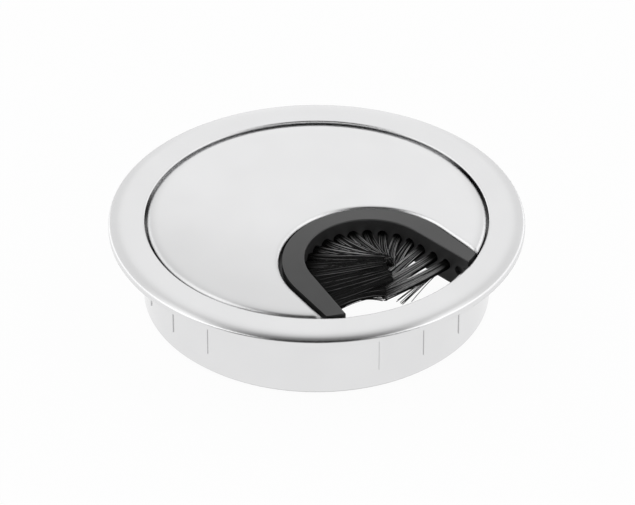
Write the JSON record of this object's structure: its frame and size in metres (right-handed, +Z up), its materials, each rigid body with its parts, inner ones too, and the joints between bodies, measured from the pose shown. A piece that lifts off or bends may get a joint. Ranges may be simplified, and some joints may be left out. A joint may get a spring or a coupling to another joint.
{
  "type": "cable grommet",
  "caption": "Round desk cable grommet: a flanged ring with a ribbed collar and a turning lid whose horseshoe opening is closed by a brush of bristle tufts.",
  "frame": {"origin": "on the axis of the hole, in the plane of the flange's underside, which lies on the desk", "axes": "+Z up out of the desk along the hole's axis, -Y towards the mouth of the lid's opening, +X to the right of it"},
  "size_m": [0.095, 0.095, 0.021],
  "materials": {
    "satin_metal": "satin plated zinc",
    "black_plastic": "fine satin",
    "bristle": "drawn nylon"
  },
  "bodies": {
    "ring": {"ring": "satin_metal"},
    "lid": {"lid": "satin_metal", "brush_carrier": "black_plastic", "tuft_01": "bristle", "tuft_02": "bristle", "tuft_03": "bristle", "tuft_04": "bristle", "tuft_05": "bristle", "tuft_06": "bristle", "tuft_07": "bristle", "tuft_08": "bristle", "tuft_09": "bristle", "tuft_10": "bristle", "tuft_11": "bristle", "tuft_12": "bristle", "tuft_13": "bristle", "tuft_14": "bristle", "tuft_15": "bristle", "tuft_16": "bristle", "tuft_17": "bristle", "tuft_18": "bristle"}
  },
  "joints": [
    {"name": "lid_turn", "type": "hinge", "parent": "ring", "child": "lid", "pos_m": [0, 0, 0], "axis": [0, 0, 1], "continuous": true}
  ]
}
